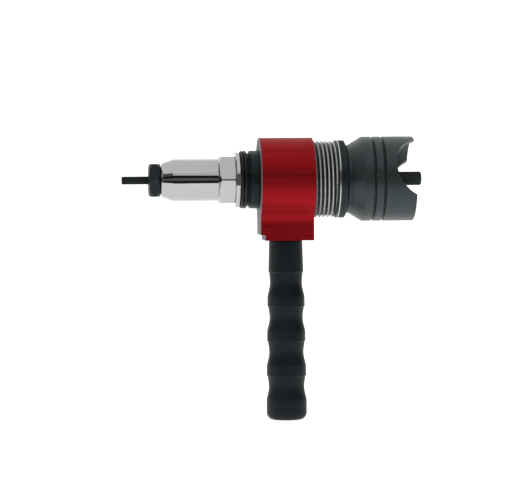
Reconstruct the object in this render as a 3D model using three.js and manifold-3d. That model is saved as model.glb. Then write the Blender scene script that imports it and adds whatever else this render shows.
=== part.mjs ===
// A hand riveter for blind rivet nuts, in millimetres.
// The draw axis is X: the mandrel's tip is at 0 and the drive shank points to +X. The handle hangs down.
// The drive spindle screws the mandrel into the rivet nut. Turning the cup winds the pull sleeve out
// of the housing on its coarse thread, and a thrust bearing in the sleeve draws the spindle and the
// mandrel back with it.
import * as THREE from "three";
import { mergeVertices } from "three/addons/utils/BufferGeometryUtils.js";
import Module from "manifold-3d";

const wasm = await Module();
wasm.setup();

// ---- Driving dimensions -------------------------------------------------------------------------
const SEAT_GAP = 0.3; // axial gap between pieces that seat on each other
const FIT = 0.2; // radial clearance of a fixed fit or a running fit
const THREAD_PLAY = 0.25; // clearance of the pull thread, radially and on its flanks

const mandrel = {
  radius: 3, reach: 19.6, chamfer: 0.8, stemLength: 56, headFlats: 10, headLength: 4.7,
};
const anvil = { headFlats: 24, headLength: 8.8, edgeFlat: 1.0, shankRadius: 8, shankLength: 10 };
const nose = {
  frontRadius: 12.6, coneLength: 8.4, radius: 15.5, barrelLength: 41.3,
  hexFlats: 34, hexLength: 12.2, hexChamfer: 2.2,
  threadRadius: 15, threadLength: 16, boreRadius: 10.5,
};
const lockRing = {
  radius: 20.5, width: 3.6, bevel: 0.8, notches: 4, notchWidth: 8, notchDepth: 1.2,
};
const seal = { radius: 21.2, width: 1.9, round: 0.8 };
const collar = {
  radius: 21.2, rimLength: 2.1, grooveLength: 2.4, grooveDepth: 2, length: 11.6,
  spigotRadius: 19, nutThreadRadius: 17, boreRadius: 10.5,
};
const collarNut = { radius: 20.8, width: 4.5 };
const housing = {
  length: 39, wall: 2.5, frontWall: 8, blockHalfWidth: 15.5, blendRadius: 12,
  blockDrop: 9.9, seatDrop: 4.1, seatInset: 3.3,
};
const pullThread = {
  pitch: 3, crestRadius: 28, depth: 1.8, crestHalf: 0.4, rootHalf: 1.15, femaleLength: 15.2,
};
const sleeve = {
  engaged: 13.4, exposed: 16.1, recessPlay: 0.8, recessDepth: 6, wall: 8, chamberPlay: 2, seatStep: 4.5,
};
const knurled = {
  proud: 0.8, width: 8.1, bead: 1.6, beadProud: 0.6, groove: 0.8, grooveSunk: 0.3, chamfer: 1.4,
};
const journal = { radius: 7.5, bushWall: 1.8 };
const bearing = { radius: 15, journalPlay: 1.3, washer: 2.5, ballMargin: 0.7, balls: 10, play: 0.15 };
const spindle = {
  frontRadius: 6, flangeRadius: 15, flangeWidth: 5, shankFlats: 10, shankLength: 52, chamfer: 1.2,
};
const waveWasher = { journalPlay: 1.1, radius: 14.5, width: 1 };
const bearingCap = { keyHoles: 2, keyHoleRadius: 1.6, keyHolePitch: 13, keyHoleDepth: 3 };
const chuck = {
  radius: 9.6, capLength: 11.7, capWall: 3.7, spigotRadius: 7.5, bodyLength: 28.7, socketDepth: 4.3,
  spindleDepth: 11.5,
};
const chuckPin = { radius: 1.5, length: 18.4, fromRear: 6 };
const cup = {
  neckProud: 1.5, neckLength: 2, flareLength: 9.9, flareRise: 6, wall: 3.5, web: 6, webHole: 10,
  length: 49.5, grooves: [18.9, 26.1], grooveHalf: 1.1, grooveDepth: 1.5,
  notchRadius: 23, notchBeyondRim: 8, notchTurn: 22.5, // degrees about X
};
const cupScrew = { count: 4, radius: 2, grip: 10, headRadius: 3.4, headHeight: 3.5, hex: 3 };
const grubScrew = { radius: 2.5, length: 10, hex: 2.5, socketDepth: 3 };
const stud = { radius: 6, inHousing: 11.5, inCore: 28 };
const core = { radius: 9.5, hollowRadius: 6.5, web: 9 };
const grip = {
  topRadius: 12.2, landRadius: 12.8, landLength: 23.1, fingers: 4, fingerLength: 17.5, bandLength: 7.9,
  grooveRadius: 11.8, grooveGrowth: 0.42, bandRadius: 13.5, bandGrowth: 0.42,
  endLength: 9.6, endDrop: 5.2, endWall: 8.2,
};

// ---- Sizes that follow from them ----------------------------------------------------------------
const housingRadius = pullThread.crestRadius + housing.wall;
const blockDepth = housingRadius + housing.blockDrop;
const seatDepth = blockDepth + housing.seatDrop;
const recessRadius = collarNut.radius + sleeve.recessPlay;
const chamberRadius = bearing.radius + sleeve.chamberPlay;
const ringSeatRadius = pullThread.crestRadius - sleeve.seatStep;
const bearingBore = journal.radius + bearing.journalPlay;
const ballPitchRadius = (bearing.radius + bearingBore) / 2;
const ballRadius = (bearing.radius - bearingBore) / 2 - bearing.ballMargin;
const gripBands = (grip.fingers - 1) * grip.bandLength + grip.endLength;
const gripLength = grip.landLength + grip.fingers * grip.fingerLength + gripBands + grip.endDrop;
const coreLength = gripLength - grip.endWall - SEAT_GAP;
const cupNeckRadius = ringSeatRadius + cup.neckProud;
const cupRadius = cupNeckRadius + cup.flareRise;
const cupScrewPitchRadius = (chamberRadius + ringSeatRadius) / 2;

// ---- Stations along X ---------------------------------------------------------------------------
const xAnvil = mandrel.reach;
const xNose = xAnvil + anvil.headLength + SEAT_GAP;
const xNoseHex = xNose + nose.barrelLength;
const xNoseThread = xNoseHex + nose.hexLength;
const xLockRing = xNoseThread + SEAT_GAP;
const xSeal = xLockRing + lockRing.width + SEAT_GAP;
const xCollar = xSeal + seal.width + SEAT_GAP;
const xHousing = xCollar + collar.length + SEAT_GAP;
const xCavity = xHousing + housing.frontWall;
const xHousingRear = xHousing + housing.length;
const xSleeve = xHousingRear - sleeve.engaged;
const xRing = xHousingRear + sleeve.exposed + SEAT_GAP;
const xCup = xRing + knurled.width + SEAT_GAP;
const xSleeveRear = xCup - SEAT_GAP;
const xChamber = xSleeve + sleeve.recessDepth + sleeve.wall;
const xBalls = xChamber + SEAT_GAP + bearing.washer + bearing.play + ballRadius;
const xRearWasher = xBalls + ballRadius + bearing.play;
const xFlange = xRearWasher + bearing.washer + SEAT_GAP;
const xWaveWasher = xFlange + spindle.flangeWidth + SEAT_GAP;
const xBearingCap = xWaveWasher + waveWasher.width + SEAT_GAP;
const xMandrelHead = mandrel.stemLength;
const xChuckCap = xMandrelHead - SEAT_GAP - chuck.capWall;
const xChuckSpigot = xMandrelHead + 1;
const xChuck = xChuckCap + chuck.capLength + SEAT_GAP;
const xChuckRear = xChuckSpigot + chuck.bodyLength;
const xShank = xCup + 4;
const xCupWeb = xCup + cup.web;
const xCupRim = xCup + cup.length;
const xHandle = xHousing + housing.length / 2;
const zGrip = -seatDepth - SEAT_GAP;

// ---- Materials ----------------------------------------------------------------------------------
const finish = (color, roughness, metalness) =>
  new THREE.MeshStandardMaterial({ color, roughness, metalness });
const redAnodised = finish(0x9c1018, 0.4, 0.6);
const blackSteel = finish(0x14181a, 0.5, 0.7);
const chromedSteel = finish(0xcfcfd2, 0.15, 1);
const brightSteel = finish(0xa9acb0, 0.35, 1);
const bronze = finish(0xa5742f, 0.4, 1);
const cupPlastic = finish(0x2b3233, 0.6, 0);
const gripRubber = finish(0x12181a, 0.7, 0);
const sealRubber = finish(0x0b0c0d, 0.6, 0);

// ---- Building blocks ----------------------------------------------------------------------------
const FINE = 40; // sides of a large round piece
const MEDIUM = 24;
const SMALL = 12;

// A closed three.js geometry as a solid that can be joined and cut.
function solid(geometry) {
  const bare = new THREE.BufferGeometry().setAttribute("position", geometry.getAttribute("position"));
  if (geometry.index) bare.setIndex(geometry.index);
  const merged = mergeVertices(bare, 1e-4);
  const vertProperties = merged.attributes.position.array;
  const build = (triVerts) =>
    new wasm.Manifold(new wasm.Mesh({ numProp: 3, vertProperties, triVerts }));
  const faces = new Uint32Array(merged.index.array);
  const made = build(faces);
  return made.volume() > 0 ? made : build(faces.reverse());
}

// A solid of revolution about X. The profile is a list of [x, radius] and closes on itself or on the
// axis.
function turned(profile, sides = MEDIUM) {
  const points = profile.map(([x, radius]) => new THREE.Vector2(radius, x));
  if (profile[0][1] > 0) points.push(points[0].clone());
  return solid(new THREE.LatheGeometry(points, sides).rotateZ(-Math.PI / 2));
}

const rod = (x0, x1, radius, sides) => turned([[x0, 0], [x0, radius], [x1, radius], [x1, 0]], sides);

const ring = (x0, x1, outer, inner, sides) =>
  turned([[x0, inner], [x0, outer], [x1, outer], [x1, inner]], sides);

// A rod whose two ends carry a 45 degree chamfer.
const chamferedRod = (x0, x1, radius, chamfer, sides) =>
  turned([
    [x0, 0], [x0, radius - chamfer], [x0 + chamfer, radius],
    [x1 - chamfer, radius], [x1, radius - chamfer], [x1, 0],
  ], sides);

// A plain ring whose outer corners carry a chamfer.
const chamferedRing = (x0, x1, outer, inner, chamfer, sides) =>
  turned([
    [x0, inner], [x0, outer - chamfer], [x0 + chamfer, outer],
    [x1 - chamfer, outer], [x1, outer - chamfer], [x1, inner],
  ], sides);

// Turns an outline drawn in (y, z) into a prism from x0 to x1.
function prism(outline, x0, x1) {
  const made = new THREE.ExtrudeGeometry(outline, { depth: x1 - x0, bevelEnabled: false });
  const [x, y, z] = [new THREE.Vector3(1, 0, 0), new THREE.Vector3(0, 1, 0), new THREE.Vector3(0, 0, 1)];
  return solid(made.applyMatrix4(new THREE.Matrix4().makeBasis(y, z, x)).translate(x0, 0, 0));
}

// A hexagonal bar along X with flats at top and bottom.
function hexBar(flats, x0, x1) {
  const corner = flats / Math.sqrt(3);
  const corners = [0, 1, 2, 3, 4, 5].map((i) => {
    const angle = (i * Math.PI) / 3;
    return new THREE.Vector2(corner * Math.cos(angle), corner * Math.sin(angle));
  });
  return prism(new THREE.Shape(corners), x0, x1);
}

// A straight pin between two heights, along Z at a place on the X axis, or along Y when alongY is set.
function crossPin(x, from, to, radius, alongY = false) {
  const made = new THREE.CylinderGeometry(radius, radius, to - from, SMALL);
  made.translate(0, (from + to) / 2, 0);
  if (!alongY) made.rotateX(Math.PI / 2);
  return solid(made.translate(x, 0, 0));
}

// One helical ridge about X. The section is a list of [offset along X, radius]; it turns right-handed.
function helicalRidge(x0, turns, pitch, section) {
  const steps = Math.round(turns * MEDIUM);
  const places = [];
  const faces = [];
  for (let i = 0; i <= steps; i++) {
    const angle = (2 * Math.PI * i) / MEDIUM;
    const x = x0 + (pitch * i) / MEDIUM;
    for (const [offset, radius] of section) {
      places.push(x + offset, radius * Math.cos(angle), radius * Math.sin(angle));
    }
  }
  const n = section.length;
  for (let i = 0; i < steps; i++) {
    for (let k = 0; k < n; k++) {
      const [a, b] = [i * n + k, i * n + ((k + 1) % n)];
      faces.push(a, b, b + n, a, b + n, a + n);
    }
  }
  for (let k = 1; k < n - 1; k++) {
    faces.push(0, k + 1, k, steps * n, steps * n + k, steps * n + k + 1);
  }
  const made = new THREE.BufferGeometry();
  made.setAttribute("position", new THREE.Float32BufferAttribute(places, 3));
  made.setIndex(faces);
  return solid(made);
}

const part = new THREE.Group();

function add(name, shape, material) {
  const { vertProperties, triVerts } = shape.getMesh();
  const geometry = new THREE.BufferGeometry();
  geometry.setAttribute("position", new THREE.BufferAttribute(vertProperties, 3));
  geometry.setIndex(new THREE.BufferAttribute(triVerts, 1));
  const mesh = new THREE.Mesh(geometry, material);
  mesh.name = name;
  part.add(mesh);
  return mesh;
}

// ---- Nose ---------------------------------------------------------------------------------------
// The anvil's head is a hexagon whose corners are turned away almost to a point on both sides.
function makeAnvil() {
  const { headFlats, headLength, edgeFlat, shankRadius, shankLength } = anvil;
  const corner = headFlats / Math.sqrt(3);
  const flat = headFlats / 2;
  const slope = (headLength - edgeFlat) / 2;
  const xEnd = xAnvil + headLength;
  const turning = turned([
    [xAnvil, 0], [xAnvil, flat - 2], [xAnvil + 0.8, flat], [xAnvil + slope, corner + 0.1],
    [xEnd - slope, corner + 0.1], [xEnd - 0.8, flat], [xEnd, flat - 1], [xEnd, 0],
  ], FINE);
  return hexBar(headFlats, xAnvil - 1, xEnd + 1)
    .intersect(turning)
    .add(rod(xEnd - 1, xEnd + shankLength, shankRadius))
    .subtract(rod(xAnvil - 1, xEnd + shankLength + 1, mandrel.radius + FIT, SMALL));
}

// The nose sleeve is one turned piece: cone, barrel, hexagon and the thread that enters the collar.
function makeNoseSleeve() {
  const { frontRadius, coneLength, radius, hexFlats, hexChamfer, threadRadius, boreRadius } = nose;
  const anvilSeatEnd = xNose + anvil.shankLength + FIT;
  const xThreadEnd = xNoseThread + nose.threadLength;
  const barrel = turned([
    [xNose, 0], [xNose, frontRadius - 0.5], [xNose + 0.5, frontRadius], [xNose + coneLength, radius],
    [xNoseHex + 1, radius], [xNoseHex + 1, 0],
  ], FINE);
  const corner = hexFlats / Math.sqrt(3);
  const hexTurning = turned([
    [xNoseHex, 0], [xNoseHex, radius], [xNoseHex + hexChamfer, corner], [xNoseThread - 0.6, corner],
    [xNoseThread, corner - 1.2], [xNoseThread, 0],
  ], FINE);
  return hexBar(hexFlats, xNoseHex, xNoseThread)
    .intersect(hexTurning)
    .add(barrel)
    .add(rod(xNoseThread - 1, xThreadEnd, threadRadius, FINE))
    .subtract(rod(xNose - 1, anvilSeatEnd, anvil.shankRadius + FIT))
    .subtract(rod(anvilSeatEnd - 0.01, xThreadEnd + 1, boreRadius));
}

function makeLockRing() {
  const { radius, width, bevel, notches, notchWidth, notchDepth } = lockRing;
  let made = chamferedRing(xLockRing, xLockRing + width, radius, nose.threadRadius + FIT, bevel, FINE);
  for (let i = 0; i < notches; i++) {
    const notch = new THREE.BoxGeometry(width + 2, 2 * notchDepth, notchWidth);
    notch.translate(xLockRing + width / 2, -radius, 0).rotateX((2 * Math.PI * i) / notches);
    made = made.subtract(solid(notch));
  }
  return made;
}

const makeSeal = () =>
  chamferedRing(xSeal, xSeal + seal.width, seal.radius, nose.threadRadius + FIT, seal.round, FINE);

// The collar carries the nose thread in front and the front bush behind. Its spigot passes the
// housing wall.
function makeCollar() {
  const { radius, rimLength, grooveLength, grooveDepth, length, spigotRadius, boreRadius } = collar;
  const nutRadius = collar.nutThreadRadius;
  const floorRadius = radius - grooveDepth;
  const xGroove = xCollar + rimLength;
  const xShoulder = xCollar + length;
  const xSpigotEnd = xCavity + SEAT_GAP;
  const xEnd = xSpigotEnd + collarNut.width + SEAT_GAP;
  const threadEnd = xNoseThread + nose.threadLength + SEAT_GAP;
  const bushSeat = journal.radius + journal.bushWall + FIT;
  return turned([
    [xCollar, 0], [xCollar, radius - 0.4], [xCollar + 0.4, radius], [xGroove, radius],
    [xGroove + grooveLength * 0.35, floorRadius], [xGroove + grooveLength * 0.65, floorRadius],
    [xGroove + grooveLength, radius], [xShoulder, radius], [xShoulder, spigotRadius],
    [xSpigotEnd, spigotRadius], [xSpigotEnd, nutRadius], [xEnd, nutRadius], [xEnd, 0],
  ], FINE)
    .subtract(rod(xCollar - 1, threadEnd, nose.threadRadius + FIT, FINE))
    .subtract(rod(threadEnd - 0.01, xHousing + 1, boreRadius))
    .subtract(rod(xHousing, xEnd + 1, bushSeat));
}

const makeBush = (x0, x1) => ring(x0, x1, journal.radius + journal.bushWall, journal.radius + FIT);

const makeFrontBush = () => makeBush(xHousing + 1 + SEAT_GAP, xCavity + collarNut.width);

function makeCollarNut() {
  const { radius, width } = collarNut;
  const x0 = xCavity + SEAT_GAP;
  return chamferedRing(x0, x0 + width, radius, collar.nutThreadRadius + FIT, 0.5, FINE);
}

// ---- Housing and handle -------------------------------------------------------------------------
// The housing's outline: a round body that blends by a concave arc into the block for the handle.
function housingOutline(depth) {
  const { blockHalfWidth: w, blendRadius: f } = housing;
  const blendZ = -Math.sqrt((housingRadius + f) ** 2 - (w + f) ** 2);
  const touch = Math.atan2(blendZ, w + f);
  const arc = (y, z, r, from, to, steps) =>
    Array.from({ length: steps + 1 }, (_, i) => {
      const angle = from + ((to - from) * i) / steps;
      return new THREE.Vector2(y + r * Math.cos(angle), z + r * Math.sin(angle));
    });
  return new THREE.Shape([
    new THREE.Vector2(-w, -depth),
    new THREE.Vector2(w, -depth),
    ...arc(w + f, blendZ, f, Math.PI, Math.PI + touch, 6),
    ...arc(0, 0, housingRadius, touch, Math.PI - touch, 40).slice(1, -1),
    ...arc(-w - f, blendZ, f, -touch, 0, 6),
  ]);
}

const ridgeSection = (play) => {
  const { crestRadius, depth, crestHalf, rootHalf } = pullThread;
  const slope = (rootHalf - crestHalf) / depth;
  const buried = depth + 0.5;
  const base = crestHalf + slope * buried + play;
  return [[-base, crestRadius - buried], [-crestHalf - play, crestRadius + play],
    [crestHalf + play, crestRadius + play], [base, crestRadius - buried]];
};

// The pull thread's ridge starts at the sleeve's front end, and the housing's groove is in step with it.
function pullRidge(x0, x1, play) {
  const { pitch } = pullThread;
  const start = xSleeve + Math.floor((x0 - xSleeve) / pitch) * pitch;
  return helicalRidge(start, (x1 - start) / pitch + 1, pitch, ridgeSection(play));
}

function makeHousing() {
  const rootRadius = pullThread.crestRadius - pullThread.depth;
  const xThread = xHousingRear - pullThread.femaleLength; // in front of it the bore clears the crests
  const body = prism(housingOutline(blockDepth), xHousing, xHousingRear);
  const seat = prism(housingOutline(seatDepth), xHousing + housing.seatInset, xHousingRear);
  const screwX = xHousing + housing.frontWall / 2;
  const studHoleEnd = -seatDepth + stud.inHousing + SEAT_GAP;
  return body
    .add(seat)
    .subtract(rod(xHousing - 1, xCavity + 1, collar.spigotRadius + FIT, FINE))
    .subtract(rod(xCavity, xThread, pullThread.crestRadius + 2 * THREAD_PLAY, FINE))
    .subtract(rod(xThread - 1, xHousingRear + 1, rootRadius + THREAD_PLAY))
    .subtract(pullRidge(xThread, xHousingRear, THREAD_PLAY))
    .subtract(crossPin(screwX, collar.spigotRadius - 1, housingRadius + 1, grubScrew.radius + FIT, true))
    .subtract(crossPin(xHandle, -seatDepth - 1, studHoleEnd, stud.radius + FIT));
}

// The grub screw locks the collar in the housing's front wall, from the far side.
function makeGrubScrew() {
  const { radius, length, hex, socketDepth } = grubScrew;
  const inner = collar.spigotRadius + SEAT_GAP;
  const x = xHousing + housing.frontWall / 2;
  const outerEnd = inner + length;
  const socket = hexBar(hex, outerEnd - socketDepth, outerEnd + 1).rotate([0, 0, 90]);
  return crossPin(x, inner, outerEnd, radius, true).subtract(socket.translate([x, 0, 0]));
}

const makeStud = () =>
  crossPin(xHandle, zGrip - stud.inCore, -seatDepth + stud.inHousing, stud.radius);

function makeHandleCore() {
  const bottom = zGrip - coreLength;
  const studHoleEnd = zGrip - stud.inCore - 1;
  return crossPin(xHandle, bottom, zGrip, core.radius)
    .subtract(crossPin(xHandle, studHoleEnd, zGrip + 1, stud.radius + FIT))
    .subtract(crossPin(xHandle, bottom - 1, studHoleEnd - core.web, core.hollowRadius));
}

// The grip's outline runs down from its top: a plain land, then a groove and a band for each finger.
function gripOutline() {
  const points = [[0, 0], [0, grip.topRadius], [grip.landLength, grip.landRadius]];
  let depth = grip.landLength;
  let fromRadius = grip.landRadius;
  const grooveSteps = 5;
  for (let i = 0; i < grip.fingers; i++) {
    const last = i === grip.fingers - 1;
    const bandRadius = grip.bandRadius + i * grip.bandGrowth;
    const grooveRadius = grip.grooveRadius + i * grip.grooveGrowth;
    for (let k = 1; k <= grooveSteps; k++) {
      const t = k / grooveSteps;
      const level = fromRadius + (bandRadius - fromRadius) * t;
      const dip = (fromRadius + bandRadius) / 2 - grooveRadius;
      points.push([depth + t * grip.fingerLength, level - dip * Math.sin(Math.PI * t) ** 1.2]);
    }
    depth += grip.fingerLength;
    fromRadius = bandRadius + (last ? 0 : grip.bandGrowth / 4);
    depth += last ? grip.endLength : grip.bandLength;
    points.push([depth, fromRadius]);
  }
  const domeSteps = 4;
  for (let k = 1; k <= domeSteps; k++) {
    const angle = (k / domeSteps) * (Math.PI / 2);
    const narrowing = 0.35 * (1 - Math.cos(angle));
    points.push([depth + grip.endDrop * Math.sin(angle), fromRadius * (1 - narrowing)]);
  }
  points.push([depth + grip.endDrop, 0]);
  return points;
}

function makeGrip() {
  const made = turned(gripOutline(), MEDIUM).rotate([0, 90, 0]).translate([xHandle, 0, zGrip]);
  return made.subtract(crossPin(xHandle, zGrip - coreLength - SEAT_GAP, zGrip + 1, core.radius + FIT));
}

// ---- Pull sleeve, thrust bearing and cup --------------------------------------------------------
function makePullSleeve() {
  const rootRadius = pullThread.crestRadius - pullThread.depth;
  const xThreadEnd = xRing - SEAT_GAP;
  const beyondCrest = pullThread.depth + 0.5;
  const threadLimit = turned([
    [xSleeve, 0], [xSleeve, rootRadius], [xSleeve + beyondCrest, rootRadius + beyondCrest],
    [xThreadEnd, rootRadius + beyondCrest], [xThreadEnd, 0],
  ]);
  let made = rod(xSleeve, xThreadEnd, rootRadius)
    .add(pullRidge(xSleeve - pullThread.pitch, xThreadEnd + pullThread.pitch, 0).intersect(threadLimit))
    .add(rod(xThreadEnd - 1, xSleeveRear, ringSeatRadius, FINE))
    .subtract(rod(xSleeve - 1, xSleeve + sleeve.recessDepth, recessRadius, FINE))
    .subtract(rod(xSleeve, xChamber + 1, journal.radius + journal.bushWall + FIT))
    .subtract(rod(xChamber, xSleeveRear + 1, chamberRadius, FINE));
  for (const place of cupScrewPlaces()) {
    const hole = rod(xSleeveRear - cupScrew.grip - 1, xSleeveRear + 1, cupScrew.radius + FIT, SMALL);
    made = made.subtract(hole.translate(place));
  }
  return made;
}

const makeSleeveBush = () => makeBush(xSleeve + sleeve.recessDepth, xChamber);

function makeKnurledRing() {
  const { proud, width, bead, beadProud, groove, grooveSunk, chamfer } = knurled;
  const bore = ringSeatRadius + FIT;
  const radius = pullThread.crestRadius + proud;
  const beadRadius = pullThread.crestRadius + beadProud;
  const grooveRadius = pullThread.crestRadius - grooveSunk;
  const xEnd = xRing + width;
  return turned([
    [xRing, bore], [xRing, beadRadius - 0.5], [xRing + 0.5, beadRadius], [xRing + bead, beadRadius],
    [xRing + bead, grooveRadius], [xRing + bead + groove, grooveRadius], [xRing + bead + groove, radius],
    [xEnd - chamfer, radius], [xEnd, radius - 2.4 * chamfer], [xEnd, bore],
  ], FINE);
}

const makeThrustWasher = (x0, bore) => ring(x0, x0 + bearing.washer, bearing.radius, bore, FINE);

const ballPlace = (i) => {
  const angle = (2 * Math.PI * (i + 0.5)) / bearing.balls;
  return [xBalls, ballPitchRadius * Math.cos(angle), ballPitchRadius * Math.sin(angle)];
};

function makeBallCage() {
  const half = ballRadius / 3;
  const margin = 0.2;
  let made = ring(xBalls - half, xBalls + half, bearing.radius - margin, bearingBore + margin, MEDIUM);
  for (let i = 0; i < bearing.balls; i++) {
    const pocket = rod(-half - 1, half + 1, ballRadius + FIT, SMALL);
    made = made.subtract(pocket.translate(ballPlace(i)));
  }
  return made;
}

const makeBall = (i) => solid(new THREE.SphereGeometry(ballRadius, 8, 6)).translate(ballPlace(i));

function makeWaveWasher() {
  const { journalPlay, radius, width } = waveWasher;
  return ring(xWaveWasher, xWaveWasher + width, radius, journal.radius + journalPlay);
}

// The bearing cap closes the sleeve's chamber and holds the rear bush; its key holes take a pin
// spanner.
function makeBearingCap() {
  const { keyHoles, keyHoleRadius, keyHolePitch, keyHoleDepth } = bearingCap;
  const bush = journal.radius + journal.bushWall + FIT;
  let made = chamferedRing(xBearingCap, xSleeveRear, chamberRadius - FIT, bush, 0.4, FINE);
  for (let i = 0; i < keyHoles; i++) {
    const hole = rod(xSleeveRear - keyHoleDepth, xSleeveRear + 1, keyHoleRadius, SMALL);
    made = made.subtract(hole.translate([0, keyHolePitch * Math.cos(Math.PI * i), 0]));
  }
  return made;
}

const makeRearBush = () => makeBush(xBearingCap, xSleeveRear);

function cupScrewPlaces() {
  return Array.from({ length: cupScrew.count }, (_, i) => {
    const angle = (2 * Math.PI * (i + 0.5)) / cupScrew.count;
    return [0, cupScrewPitchRadius * Math.cos(angle), cupScrewPitchRadius * Math.sin(angle)];
  });
}

// The cup flares from its neck and carries two vee grooves. A cross notch leaves two prongs at its rim.
function makeCup() {
  const { neckLength, wall, webHole, grooves, grooveHalf, grooveDepth } = cup;
  const neckRadius = cupNeckRadius;
  const radius = cupRadius;
  const xFull = xCup + neckLength + cup.flareLength;
  const veeGrooves = grooves.flatMap((at) => [
    [xCup + at - grooveHalf, radius],
    [xCup + at, radius - grooveDepth],
    [xCup + at + grooveHalf, radius],
  ]);
  const innerRadius = radius - wall;
  const floorRadius = cupScrewPitchRadius + cupScrew.headRadius + 0.6;
  let made = turned([
    [xCup, webHole], [xCup, neckRadius - 0.3], [xCup + neckLength, neckRadius],
    [xFull - 0.6, radius - 0.3], [xFull, radius], ...veeGrooves,
    [xCupRim - 0.6, radius], [xCupRim, radius - 0.6], [xCupRim, innerRadius],
    [xFull + 0.8, innerRadius], [xCupWeb, floorRadius], [xCupWeb, webHole],
  ], FINE);
  for (const place of cupScrewPlaces()) {
    made = made.subtract(rod(xCup - 1, xCupWeb + 1, cupScrew.radius + FIT, SMALL).translate(place));
  }
  const notch = new THREE.CylinderGeometry(cup.notchRadius, cup.notchRadius, 3 * radius, FINE);
  notch.rotateX(-(cup.notchTurn * Math.PI) / 180).translate(xCupRim + cup.notchBeyondRim, 0, 0);
  return made.subtract(solid(notch));
}

function makeCupScrew(place) {
  const { radius, grip: depth, headRadius, headHeight, hex } = cupScrew;
  const xHead = xCupWeb + SEAT_GAP;
  return rod(xSleeveRear - depth, xHead + 1, radius, SMALL)
    .add(chamferedRod(xHead, xHead + headHeight, headRadius, 0.3, SMALL))
    .subtract(hexBar(hex, xHead + headHeight - 2, xHead + headHeight + 1))
    .translate(place);
}

// ---- Spindle, chuck and mandrel -----------------------------------------------------------------
function makeDriveSpindle() {
  const { frontRadius, flangeRadius, flangeWidth, shankFlats, shankLength, chamfer } = spindle;
  const front = xChuckRear - chuck.spindleDepth;
  const corner = shankFlats / Math.sqrt(3);
  const xEnd = xShank + shankLength;
  const xJournal = xChuckRear + SEAT_GAP;
  const shankTurning = turned([
    [xShank - 1, 0], [xShank - 1, corner],
    [xEnd - chamfer, corner], [xEnd, corner - 1.6 * chamfer], [xEnd, 0],
  ]);
  const shank = hexBar(shankFlats, xShank - 1, xEnd).intersect(shankTurning);
  return turned([
    [front, 0], [front, frontRadius - 0.6], [front + 0.6, frontRadius], [xJournal, frontRadius],
    [xJournal, journal.radius], [xFlange, journal.radius], [xFlange, flangeRadius],
    [xFlange + flangeWidth, flangeRadius], [xFlange + flangeWidth, journal.radius],
    [xShank - 1, journal.radius], [xShank, journal.radius - 1.2], [xShank, 0],
  ])
    .add(shank)
    .subtract(crossPin(xChuckRear - chuckPin.fromRear, -20, 20, chuckPin.radius + FIT));
}

// The chuck's spigot has a hexagonal socket for the mandrel's head, and its rear bore takes the
// spindle.
function makeMandrelChuck() {
  const spindleEnd = xChuckRear - chuck.spindleDepth - SEAT_GAP;
  return rod(xChuckSpigot, xChuck + 1, chuck.spigotRadius)
    .add(chamferedRod(xChuck, xChuckRear, chuck.radius, 0.6))
    .subtract(hexBar(mandrel.headFlats + 2 * FIT, xChuckSpigot - 1, xChuckSpigot + chuck.socketDepth))
    .subtract(rod(spindleEnd, xChuckRear + 1, spindle.frontRadius + FIT))
    .subtract(crossPin(xChuckRear - chuckPin.fromRear, -20, 20, chuckPin.radius + FIT));
}

const makeChuckPin = () => {
  const half = chuckPin.length / 2;
  return crossPin(xChuckRear - chuckPin.fromRear, -half, half, chuckPin.radius);
};

function makeChuckCap() {
  const xEnd = xChuckCap + chuck.capLength;
  return chamferedRod(xChuckCap, xEnd, chuck.radius, 0.8)
    .subtract(rod(xChuckCap - 1, xChuckCap + 5, mandrel.radius + FIT, SMALL))
    .subtract(rod(xChuckCap + chuck.capWall, xEnd + 1, chuck.spigotRadius + FIT));
}

function makeMandrel() {
  const { radius, chamfer, stemLength, headFlats, headLength } = mandrel;
  const xStemEnd = stemLength + 1;
  return turned([
    [0, 0], [0, radius - chamfer], [chamfer, radius], [xStemEnd, radius], [xStemEnd, 0],
  ], SMALL)
    .add(hexBar(headFlats, xMandrelHead, xMandrelHead + headLength));
}

// ---- Assembly -----------------------------------------------------------------------------------
add("mandrel", makeMandrel(), blackSteel);
add("anvil", makeAnvil(), blackSteel);
add("nose_sleeve", makeNoseSleeve(), chromedSteel);
add("nose_lock_ring", makeLockRing(), chromedSteel);
add("nose_seal_ring", makeSeal(), sealRubber);
add("nose_collar", makeCollar(), blackSteel);
add("front_bush", makeFrontBush(), bronze);
add("collar_nut", makeCollarNut(), blackSteel);
add("collar_grub_screw", makeGrubScrew(), blackSteel);

add("housing", makeHousing(), redAnodised);
add("handle_stud", makeStud(), brightSteel);
add("handle_core", makeHandleCore(), brightSteel);
add("handle_grip", makeGrip(), gripRubber);

add("pull_sleeve", makePullSleeve(), blackSteel);
add("sleeve_bush", makeSleeveBush(), bronze);
add("knurled_ring", makeKnurledRing(), blackSteel);
add("thrust_washer_front", makeThrustWasher(xChamber + SEAT_GAP, bearingBore), brightSteel);
add("ball_cage", makeBallCage(), bronze);
for (let i = 0; i < bearing.balls; i++) {
  add(`bearing_ball_${i + 1}`, makeBall(i), brightSteel);
}
add("thrust_washer_rear", makeThrustWasher(xRearWasher, journal.radius + FIT), brightSteel);
add("wave_washer", makeWaveWasher(), brightSteel);
add("bearing_cap", makeBearingCap(), blackSteel);
add("rear_bush", makeRearBush(), bronze);
add("cup", makeCup(), cupPlastic);
cupScrewPlaces().forEach((place, i) => add(`cup_screw_${i + 1}`, makeCupScrew(place), blackSteel));

add("drive_spindle", makeDriveSpindle(), blackSteel);
add("mandrel_chuck", makeMandrelChuck(), brightSteel);
add("chuck_pin", makeChuckPin(), brightSteel);
add("chuck_cap", makeChuckCap(), brightSteel);

export default part;
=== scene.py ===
# A hand riveter for blind rivet nuts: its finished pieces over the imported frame, and the studio.
import math

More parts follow.
